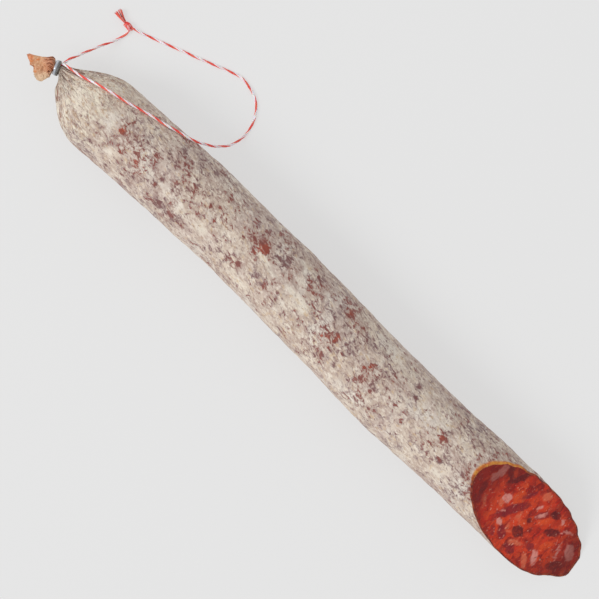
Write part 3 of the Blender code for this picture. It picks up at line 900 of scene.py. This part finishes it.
# ------------------------------------------------------------------ the spare casing past the clip
# The same skin where no meat fills it: an empty tube pressed flat, bunched into the clip and dried
# to stiff, amber, half-clear folds that fan out to a ragged end.
TAIL_YAW = math.radians(39.7)
TAIL_LENGTH = 0.0125
TAIL_BULGE = 0.0028
TAIL_THIN = 0.0008
TAIL_DROOP = 0.0020
# Sides of the fan: share of the way to its end, and the distance of each side from its middle line
TAIL_TOP = ((0.0, 0.0025), (0.05, 0.0045), (0.13, 0.0056), (0.5, 0.0054), (0.8, 0.0060), (1.0, 0.0066))
TAIL_LOW = ((0.0, -0.0025), (0.05, -0.0044), (0.2, -0.0050), (0.5, -0.0062), (0.8, -0.0078), (1.0, -0.0080))
# Its end: place across from the low side to the top one, and how far out it reaches
TAIL_END = (
    (0.0, 0.0088),
    (0.05, 0.0104),
    (0.16, 0.0119),
    (0.34, 0.0125),
    (0.50, 0.0127),
    (0.55, 0.0127),
    (0.57, 0.0152),
    (0.66, 0.0151),
    (0.76, 0.0158),
    (0.95, 0.0170),
    (1.0, 0.0156),
)
TAIL_PLEATS = 6.5
TAIL_PLEAT_DEPTH = 0.0010
TAIL_PLEAT_END = 0.42
TAIL_CRUMPLE = 0.0011
TAIL_CRUMPLE_SCALE = 330.0
TAIL_RAG = 0.0007
TAIL_RAG_SCALE = 900.0
TAIL_RINGS = 64
TAIL_END_RINGS = 8
TAIL_STEPS = 200


def between(table, value):
    """Linear reading of a small table of (place, amount) pairs."""
    for (start, low), (end, high) in zip(table, table[1:]):
        if value <= end:
            return blend(low, high, max(0.0, (value - start) / (end - start)))
    return table[-1][1]


def along_at(yaw, along, side):
    """An offset from the clip's centre: along the tail and to its upper side."""
    return Vector((-math.cos(yaw) * along - math.sin(yaw) * side, -math.sin(yaw) * along + math.cos(yaw) * side, 0.0))


def tail_pleat(across, past):
    """Height of the pleats by the clip, from -1 to 1: rounded backs with sharp valleys."""
    drift = noise.noise(Vector((across * 1.6, past * 5.0, 3.0)))
    wave = abs(math.sin(math.pi * TAIL_PLEATS * 0.5 * (across + 0.30 * drift)))
    return (2 * math.sqrt(wave) - 1.2) * (1 - ramp(past, TAIL_PLEAT_END * 0.5, TAIL_PLEAT_END))


def tail_point(past, share, angle):
    """A point of the fan: past the clip from 0 to 1, share out from its middle, angle around it."""
    out = min(1.0, max(0.0, past))
    top, low = between(TAIL_TOP, out), between(TAIL_LOW, out)
    side = (top + low) / 2 + share * (top - low) / 2 * math.cos(angle)
    across = (side - low) / (top - low)
    end = between(TAIL_END, across) + TAIL_RAG * noise.noise(Vector((side * TAIL_RAG_SCALE, math.sin(angle) * 0.4, 1.0)))
    along = blend(NECK_HALF, end, past) if past > 0 else NECK_HALF * (1 + past)
    yaw = blend(CLIP_YAW, TAIL_YAW, ramp(past, 0.0, 0.3))
    thick = blend(NECK_RADIUS, TAIL_BULGE, ramp(past, 0.0, 0.12))
    thick = blend(thick, TAIL_THIN, ramp(past, 0.12, 0.55))
    open_out = ramp(past, 0.0, 0.12)
    pleat = TAIL_PLEAT_DEPTH * tail_pleat(share * math.cos(angle), past) * open_out
    flat = along_at(yaw, along, side)
    crumple = noise.noise(flat * TAIL_CRUMPLE_SCALE) + 0.45 * noise.noise(flat * TAIL_CRUMPLE_SCALE * 2.3)
    rise = share * thick * math.sin(angle) + pleat + TAIL_CRUMPLE * crumple * open_out - TAIL_DROOP * out * out
    return CLIP_CENTRE + flat + Vector((0, 0, rise))


def tail_finish():
    material, tree, shader = new_finish("dry_casing")
    past, across, valley_shade = node(tree, "SeparateXYZ", attribute(tree, "fan", "Vector")).outputs
    at = node(tree, "TexCoord").outputs["Object"]
    skin = stain(tree, mottle(tree, at, 260.0, 0.38, 0.62), colour(214, 164, 124), colour(196, 136, 98))
    skin = stain(tree, step_up(tree, across, -0.1, -0.75, 0.0, 0.80), skin, colour(212, 184, 152))
    veins = curled(tree, at, 420.0, 3.0, 0.6, 1.2)
    skin = stain(tree, step_up(tree, veins, 0.56, 0.68, 0.0, 0.65), skin, colour(224, 182, 146))
    skin = stain(tree, step_up(tree, veins, 0.44, 0.32, 0.0, 0.55), skin, colour(170, 104, 72))
    amber = maths(tree, "MULTIPLY", mottle(tree, at, 300.0, 0.585, 0.66), 0.85)
    skin = stain(tree, amber, skin, colour(208, 116, 46))
    gathered = maths(tree, "MULTIPLY", step_up(tree, past, 0.52, 0.18), step_up(tree, across, -1.0, -0.4, 0.55, 1.0))
    folded = stain(tree, mottle(tree, at, 480.0, 0.42, 0.60), colour(168, 98, 72), colour(198, 138, 106))
    skin = stain(tree, maths(tree, "MULTIPLY", gathered, 0.70), skin, folded)
    # Dark red-brown in the pleat valleys of the gathered band: painted shade in the folds
    deep = maths(tree, "MULTIPLY", step_up(tree, valley_shade, 0.10, 0.75), gathered)
    skin = stain(tree, maths(tree, "MULTIPLY", deep, 0.90), skin, colour(116, 50, 38))
    tip = maths(tree, "MULTIPLY", step_up(tree, past, 0.72, 0.92), step_up(tree, across, 0.35, 0.75))
    skin = stain(tree, maths(tree, "MULTIPLY", tip, 0.70), skin, colour(222, 138, 96))
    spots = maths(tree, "MULTIPLY", mottle(tree, at, 560.0, 0.62, 0.70), 0.75)
    skin = stain(tree, spots, skin, colour(132, 56, 40))
    tree.links.new(skin, shader.inputs["Base Color"])
    tree.links.new(step_up(tree, grain(tree, at, 600.0), 0.35, 0.65, 0.36, 0.62), shader.inputs["Roughness"])
    tree.links.new(bump(tree, veins, 0.0005, 0.8), shader.inputs["Normal"])
    return material


def casing_end():
    last = TAIL_RINGS + TAIL_END_RINGS
    marks = {}

    def place(index, ring, angle):
        if ring <= TAIL_RINGS:
            past = blend(-0.5, 1.0, ring / TAIL_RINGS)
            share = min(1.0, ring / 2)
        else:
            past = 1.0
            share = 1 - (ring - TAIL_RINGS) / TAIL_END_RINGS
        across = share * math.cos(angle)
        marks[index] = (past, across, max(0.0, -tail_pleat(across, past)))
        return tail_point(past, share, angle)

    work = turned_skin(last, TAIL_STEPS, place)
    fan = work.verts.layers.float_vector.new("fan")
    work.verts.ensure_lookup_table()
    for index, mark in marks.items():
        work.verts[index][fan] = mark
    shown("casing_end_fan", work, tail_finish(), ["casing_end"])


casing_end()


# ------------------------------------------------------------------ the clip
# One piece of flattened aluminium wire, pressed round the neck in a die with the twine caught in
# it. Its ends meet underneath, and the die leaves shallow flats on it.
CLIP_BORE = 0.0028
CLIP_THICKNESS = 0.0015
CLIP_WIDTH = 0.0029
CLIP_OPENING = math.radians(10)
CLIP_STEPS = 96
CLIP_ROUNDING = 0.00068
CLIP_FLATS = 5
CLIP_FLAT_DEPTH = 0.00018
CLIP_FLARE = 0.00025


def clip_finish():
    material, tree, shader = new_finish("pressed_aluminium")
    at = node(tree, "TexCoord").outputs["Object"]
    scuffs = grain(tree, stretched(tree, at, (0.4, 1.0, 1.0)), 2600.0, 4.0, 0.65)
    bright = stain(tree, step_up(tree, scuffs, 0.35, 0.65), colour(226, 232, 242), colour(176, 182, 190))
    # The clip's side towards the body and its bore are painted dark, duller and less metallic: painted shade
    clip_shade = attribute(tree, "clip_shade")
    shaded_metal = stain(tree, mottle(tree, at, 1200.0, 0.40, 0.60), colour(84, 78, 74), colour(122, 118, 110))
    metal = stain(tree, step_up(tree, clip_shade, 0.10, 0.70, 0.0, 0.90), bright, shaded_metal)
    tree.links.new(metal, shader.inputs["Base Color"])
    tree.links.new(step_up(tree, clip_shade, 0.3, 0.9, 1.0, 0.55), shader.inputs["Metallic"])
    rough = maths(tree, "ADD", step_up(tree, scuffs, 0.35, 0.65, 0.16, 0.32), maths(tree, "MULTIPLY", clip_shade, 0.2))
    tree.links.new(rough, shader.inputs["Roughness"])
    dents = bump(tree, grain(tree, at, 1400.0, 2.0), 0.00012, 0.5)
    tree.links.new(bump(tree, scuffs, 0.00003, 0.5, dents), shader.inputs["Normal"])
    return material


def clip():
    work = bmesh.new()
    bmesh.ops.create_cube(work, size=1.0)
    bmesh.ops.scale(work, verts=work.verts, vec=(CLIP_THICKNESS, CLIP_WIDTH, 0.0001))
    lengthwise = [edge for edge in work.edges if abs(edge.verts[0].co.z - edge.verts[1].co.z) > 0.00005]
    bmesh.ops.bevel(
        work,
        geom=lengthwise,
        offset=CLIP_ROUNDING,
        segments=5,
        profile=0.5,
        affect="EDGES",
        material=-1,
    )
    far_side = [face for face in work.faces if face.calc_center_median().z < 0.00004]
    bmesh.ops.delete(work, geom=far_side, context="FACES")
    for vertex in work.verts:
        vertex.co.z = 0.0
    bmesh.ops.translate(work, verts=work.verts, vec=(CLIP_BORE + CLIP_THICKNESS / 2, 0, 0))
    bmesh.ops.rotate(work, verts=work.verts, matrix=Matrix.Rotation(-CLIP_OPENING / 2, 3, "Y"))
    bmesh.ops.spin(
        work,
        geom=work.verts[:] + work.edges[:] + work.faces[:],
        cent=(0, 0, 0),
        axis=(0, 1, 0),
        angle=-(2 * math.pi - CLIP_OPENING),
        steps=CLIP_STEPS,
    )
    bmesh.ops.recalc_face_normals(work, faces=work.faces)
    clip_shade = work.verts.layers.float.new("clip_shade")
    for vertex in work.verts:
        angle = math.atan2(vertex.co.z, vertex.co.x)
        reach = math.hypot(vertex.co.x, vertex.co.z)
        outside = ramp(reach, CLIP_BORE, CLIP_BORE + CLIP_THICKNESS)
        flat = CLIP_FLAT_DEPTH * max(0.0, math.cos(CLIP_FLATS * angle)) ** 3 * outside
        flare = CLIP_FLARE * outside * noise.noise(Vector((math.cos(angle), math.sin(angle), 0)) * 1.7)
        vertex.co *= (reach - flat) / reach
        vertex.co.y += flare * vertex.co.y / CLIP_WIDTH * 2
        # Painted shade: the side facing the body and the bore are marked for darker, duller metal
        towards_body = ramp(vertex.co.y, -0.0009, 0.0012)
        vertex[clip_shade] = max(towards_body, 1 - outside * 1.6)
    yaw = Vector((math.cos(CLIP_YAW), math.sin(CLIP_YAW), 0.0))
    down = Vector((0, 0, -1))
    turn = Matrix((down, yaw, down.cross(yaw))).transposed()
    bmesh.ops.transform(work, verts=work.verts, matrix=Matrix.Translation(CLIP_CENTRE) @ turn.to_4x4())
    shown("pressed_clip", work, clip_finish(), ["clip"])


clip()


# ------------------------------------------------------------------ the twine
# Cotton kitchen twine: two yarns dyed red and two left white, loosely twisted together. One long
# and one short strand leave the clip, and are tied in a thumb knot with cut, fraying ends.
PLY_RADIUS = 0.00035
PLY_REACH = 0.00037
PLY_SIDES = 10
PLY_SPACING = 0.00035
TWINE_LAY = 0.0120
TWINE_DYES = (1.0, 1.0, 0.0, 0.0)
LONG_ROUTE = (
    (-0.1868, -0.0002, 0.0222),
    (-0.1859, 0.0011, 0.0228),
    (-0.1848, 0.0018, 0.0238),
    (-0.1832, 0.0022, 0.0252),
    (-0.1801, 0.0026, 0.0272),
    (-0.1764, 0.0033, 0.0311),
    (-0.1726, 0.0040, 0.0343),
    (-0.1649, 0.0064, 0.0384),
    (-0.1570, 0.0086, 0.0407),
    (-0.1480, 0.0106, 0.0408),
    (-0.1420, 0.0122, 0.0398),
    (-0.1325, 0.0150, 0.0381),
    (-0.1229, 0.0172, 0.0364),
    (-0.1140, 0.0198, 0.0336),
    (-0.1102, 0.0207, 0.0325),
    (-0.1065, 0.0218, 0.0306),
    (-0.1038, 0.0230, 0.0281),
    (-0.1011, 0.0246, 0.0246),
    (-0.0982, 0.0264, 0.0205),
    (-0.0955, 0.0286, 0.0162),
    (-0.0930, 0.0314, 0.0117),
    (-0.0911, 0.0345, 0.0078),
    (-0.0900, 0.0379, 0.0045),
    (-0.0896, 0.0413, 0.0022),
    (-0.0894, 0.0448, 0.0011),
    (-0.0898, 0.0481, 0.0008),
    (-0.0919, 0.0537, 0.0008),
    (-0.0942, 0.0576, 0.0008),
    (-0.0967, 0.0602, 0.0008),
    (-0.1001, 0.0625, 0.0008),
    (-0.1045, 0.0642, 0.0008),
    (-0.1105, 0.0651, 0.0008),
    (-0.1147, 0.0649, 0.0008),
    (-0.1211, 0.0626, 0.0008),
    (-0.1280, 0.0599, 0.0008),
    (-0.1338, 0.0575, 0.0008),
    (-0.1417, 0.0544, 0.0008),
    (-0.1466, 0.0526, 0.0008),
    (-0.1550, 0.0492, 0.0008),
    (-0.1634, 0.0460, 0.0008),
    (-0.1678, 0.0442, 0.0010),
    (-0.1734, 0.0427, 0.0018),
)
SHORT_ROUTE = (
    (-0.1868, 0.0000, 0.0211),
    (-0.1859, 0.0016, 0.0208),
    (-0.1856, 0.0036, 0.0204),
    (-0.1852, 0.0062, 0.0199),
    (-0.1837, 0.0106, 0.0169),
    (-0.1820, 0.0156, 0.0129),
    (-0.1805, 0.0204, 0.0089),
    (-0.1792, 0.0238, 0.0062),
    (-0.1780, 0.0269, 0.0042),
    (-0.1764, 0.0308, 0.0023),
    (-0.1753, 0.0343, 0.0013),
    (-0.1747, 0.0372, 0.0012),
    (-0.1749, 0.0400, 0.0016),
)
# The knot, drawn open as a loose loop and pulled tight below
KNOT_CENTRE = (-0.1766, 0.0419, 0.0021)
KNOT_YAW = math.radians(24)
KNOT_OPEN = (0.0011, 0.00065, 0.000175)
KNOT_SHIFT = 0.0010
KNOT_POINTS = 70
KNOT_LEAD_POINTS = 8
KNOT_ROUNDS = 460
KNOT_GAP = 0.00106
KNOT_SQUEEZE = 0.26
KNOT_PLY_RADIUS = 0.00044
KNOT_PLY_REACH = 0.00024
KNOT_LOW = 0.0006
KNOT_DYES = (1.0, 0.6)
# The cut ends: each spreads from the knot to its two corners
END_FIBRES = 64
END_FIBRE_RADIUS = 0.00013
END_FLATNESS = 0.45
END_SPREAD = 0.0021
END_RINGS = 12
END_A = ((-0.1794, 0.0420, 0.0010), (-0.1826, 0.0430, 0.0012), (-0.1868, 0.0447, 0.0011))
END_B = ((-0.1794, 0.0415, 0.0026), (-0.1829, 0.0417, 0.0024), (-0.1878, 0.0421, 0.0011))


def smooth_line(route, spacing):
    """Evenly spaced points on the smooth curve through a route."""
    knots = [Vector(point) for point in route]
    fine = []
    for index in range(len(knots) - 1):
        before, after = knots[max(index - 1, 0)], knots[min(index + 2, len(knots) - 1)]
        start, end = knots[index], knots[index + 1]
        for step in range(24):
            t = step / 24
            curve = 2 * start + (end - before) * t + (2 * before - 5 * start + 4 * end - after) * t**2
            fine.append(0.5 * (curve + (3 * start - before - 3 * end + after) * t**3))
    fine.append(knots[-1])
    travelled = [0.0]
    for start, end in zip(fine, fine[1:]):
        travelled.append(travelled[-1] + (end - start).length)
    count = max(2, round(travelled[-1] / spacing))
    line, index = [], 0
    for step in range(count + 1):
        goal = travelled[-1] * step / count
        while index < len(fine) - 2 and travelled[index + 1] < goal:
            index += 1
        line.append(fine[index].lerp(fine[index + 1], (goal - travelled[index]) / (travelled[index + 1] - travelled[index])))
    return line


def with_sides(line):
    """Each point of a line with its distance along it and two directions square to it."""
    travelled, side = 0.0, Vector((0.31, 0.17, 0.94))
    for index, point in enumerate(line):
        ahead = (line[min(index + 1, len(line) - 1)] - line[max(index - 1, 0)]).normalized()
        side = (side - ahead * side.dot(ahead)).normalized()
        if index:
            travelled += (point - line[index - 1]).length
        yield point, travelled, side, ahead.cross(side)


def plies(line, radius, reach, dyes, turn=0.0):
    """The yarns of a strand, twisted round its middle: their lines, thicknesses and dyes."""
    made = []
    for ply, dye in enumerate(dyes):
        path = []
        for point, travelled, side, up in with_sides(line):
            angle = turn + 2 * math.pi * (ply / len(dyes) + travelled / TWINE_LAY)
            path.append(point + (side * math.cos(angle) + up * math.sin(angle)) * reach)
        made.append((path, radius, PLY_SIDES, dye))
    return made


def yarn(name, yarns, nodes):
    """One mesh of many soft round yarns, each closed at its ends, marked with its lay and dye."""
    work = bmesh.new()
    for line, radius, sides, dye in yarns:
        rings = list(with_sides(line))
        rings = [rings[0], *rings, rings[-1]]
        marks = {}

        def place(index, ring, angle):
            point, travelled, side, up = rings[ring]
            marks[index] = (travelled, radius * math.cos(angle), radius * math.sin(angle))
            if ring in (0, len(rings) - 1):
                return point
            return point + (side * math.cos(angle) + up * math.sin(angle)) * radius

        piece = turned_skin(len(rings) - 1, sides, place)
        lay = piece.verts.layers.float_vector.new("lay")
        red = piece.verts.layers.float.new("dye")
        piece.verts.ensure_lookup_table()
        for index, mark in marks.items():
            piece.verts[index][lay] = mark
            piece.verts[index][red] = dye
        mesh = bpy.data.meshes.new("yarn")
        piece.to_mesh(mesh)
        piece.free()
        work.from_mesh(mesh)
        bpy.data.meshes.remove(mesh)
    return shown(name, work, COTTON, nodes)


def cotton_finish():
    material, tree, shader = new_finish("cotton_twine")
    lay = attribute(tree, "lay", "Vector")
    at = node(tree, "TexCoord").outputs["Object"]
    strands = stretched(tree, lay, (0.10, 1.0, 1.0), (0.0, 0.0, 0.0))
    white = stain(tree, mottle(tree, at, 260.0, 0.42, 0.60), colour(250, 243, 246), colour(246, 222, 228))
    # Cool grey patches on the white yarn: painted shade
    white = stain(tree, maths(tree, "MULTIPLY", mottle(tree, at, 480.0, 0.56, 0.66), 0.5), white, colour(216, 220, 228))
    red = stain(tree, mottle(tree, at, 300.0, 0.40, 0.62), colour(238, 72, 66), colour(240, 112, 94))
    tone = stain(tree, attribute(tree, "dye"), white, red)
    hairs = grain(tree, strands, 9000.0, 3.0, 0.6)
    tone = stain(tree, step_up(tree, hairs, 0.55, 0.75, 0.0, 0.30), tone, colour(250, 236, 232))
    tone = stain(tree, step_up(tree, hairs, 0.45, 0.25, 0.0, 0.22), tone, colour(186, 96, 100))
    tree.links.new(tone, shader.inputs["Base Color"])
    tree.links.new(step_up(tree, hairs, 0.3, 0.7, 0.80, 0.95), shader.inputs["Roughness"])
    tree.links.new(bump(tree, hairs, 0.00008, 0.7), shader.inputs["Normal"])
    shader.inputs["Sheen Weight"].default_value = 0.15
    shader.inputs["Sheen Roughness"].default_value = 0.5
    shader.inputs["Subsurface Weight"].default_value = 0.25
    shader.inputs["Subsurface Scale"].default_value = 0.0005
    return material


def open_knot(offset):
    """One strand's loop before it is pulled tight, off the pair's middle by the offset."""
    turn = np.linspace(2.1, -2.1, KNOT_POINTS)
    shape = (turn**3 - 3 * turn, turn**4 - 4 * turn**2, turn**5 - 10 * turn)
    loop = np.stack(shape, axis=1) * np.array(KNOT_OPEN)
    loop[:, 1] += KNOT_SHIFT
    ahead = np.gradient(loop, axis=0)
    across = np.cross((0.0, 0.0, 1.0), ahead)
    loop += offset * across / np.linalg.norm(across, axis=1, keepdims=True)
    cos, sin = math.cos(KNOT_YAW), math.sin(KNOT_YAW)
    return loop @ np.array(((cos, sin, 0.0), (-sin, cos, 0.0), (0.0, 0.0, 1.0))) + np.array(KNOT_CENTRE)


def pulled_tight():
    """Both strands of the thumb knot, shortened until they bear on each other everywhere."""
    strands = []
    for start, end, offset in ((LONG_ROUTE[-1], END_A[0], 0.0005), (SHORT_ROUTE[-1], END_B[0], -0.0005)):
        loop = open_knot(offset)
        lead = np.linspace(start, loop[0], KNOT_LEAD_POINTS + 1)[:-1]
        tail = np.linspace(loop[-1], end, KNOT_LEAD_POINTS + 1)[1:]
        strands.append(np.concatenate((lead, loop, tail)))
    count = len(strands[0])
    points = np.concatenate(strands)
    order = np.arange(2 * count)
    beside = (order[:, None] // count == order // count) & (abs(order[:, None] - order) < 8)
    free = (order % count > 0) & (order % count < count - 1)
    for round_made in range(KNOT_ROUNDS):
        middle = (points[:-2] + points[2:]) / 2
        pulled = points.copy()
        pulled[1:-1] += 0.45 * (middle - points[1:-1])
        points = np.where(free[:, None], pulled, points)
        for _ in range(2):
            apart = points[:, None] - points
            distance = np.linalg.norm(apart, axis=2) + 1e-9
            push = np.where(beside | (distance > KNOT_GAP), 0.0, 0.3 * (KNOT_GAP / distance - 1))
            points = points + np.where(free[:, None], (push[..., None] * apart).sum(axis=1), 0.0)
            if round_made > KNOT_ROUNDS / 2:
                points[:, 2] = np.maximum(points[:, 2], KNOT_LOW)
    firm = np.clip(np.minimum(order % count, count - 1 - order % count) / KNOT_LEAD_POINTS, 0, 1)
    points[:, 1] += (KNOT_CENTRE[1] - points[:, 1]) * KNOT_SQUEEZE * firm
    return [[Vector(point) for point in part] for part in (points[:count], points[count:])]


def frayed(route, spread, seed):
    """The loose fibres of a cut end, from one strand's thickness to a brush."""
    line = smooth_line(route, 0.0006)
    fibres = []
    for index in range(END_FIBRES):
        away = math.sqrt((index + 0.5) / END_FIBRES)
        around = index * 2.4 + seed
        dye = 0.25 if index % 4 == 1 else 1.0
        shorten = 1 - 0.22 * (0.5 + noise.noise(Vector((index * 1.7, seed, 0.5)))) * (1.6 - dye)
        path = []
        for point, travelled, side, up in with_sides(line):
            share = travelled / 0.008
            if share > shorten * 1.02:
                break
            reach = blend(0.00060, spread, share) * away
            twist = around + 1.1 * share
            wander = noise.noise(Vector((index * 3.1, travelled * 500, seed))) * 0.0004 * share
            spot = point + side * (reach * math.cos(twist) + wander) + up * (reach * math.sin(twist) * END_FLATNESS)
            spot.z = max(spot.z, END_FIBRE_RADIUS)
            path.append(spot)
        fibres.append((path, END_FIBRE_RADIUS, 5, dye))
    return fibres


def twine():
    long_line = smooth_line(LONG_ROUTE, PLY_SPACING)
    short_line = smooth_line(SHORT_ROUTE, PLY_SPACING)
    long_strand = yarn("twine_long", plies(long_line, PLY_RADIUS, PLY_REACH, TWINE_DYES), ["string_long"])
    short_strand = yarn("twine_short", plies(short_line, PLY_RADIUS, PLY_REACH, TWINE_DYES, 1.2), ["string_short"])
    tied = []
    for number, line in enumerate(pulled_tight()):
        tied += plies(smooth_line(line, PLY_SPACING), KNOT_PLY_RADIUS, KNOT_PLY_REACH, KNOT_DYES, 1.6 * number)
    knot = yarn("thumb_knot", tied, ["string_knot"])
    end_a = yarn("cut_end_a", frayed(END_A, END_SPREAD, 0.0), ["string_end_a"])
    end_b = yarn("cut_end_b", frayed(END_B, END_SPREAD, 2.0), ["string_end_b"])


COTTON = cotton_finish()
twine()
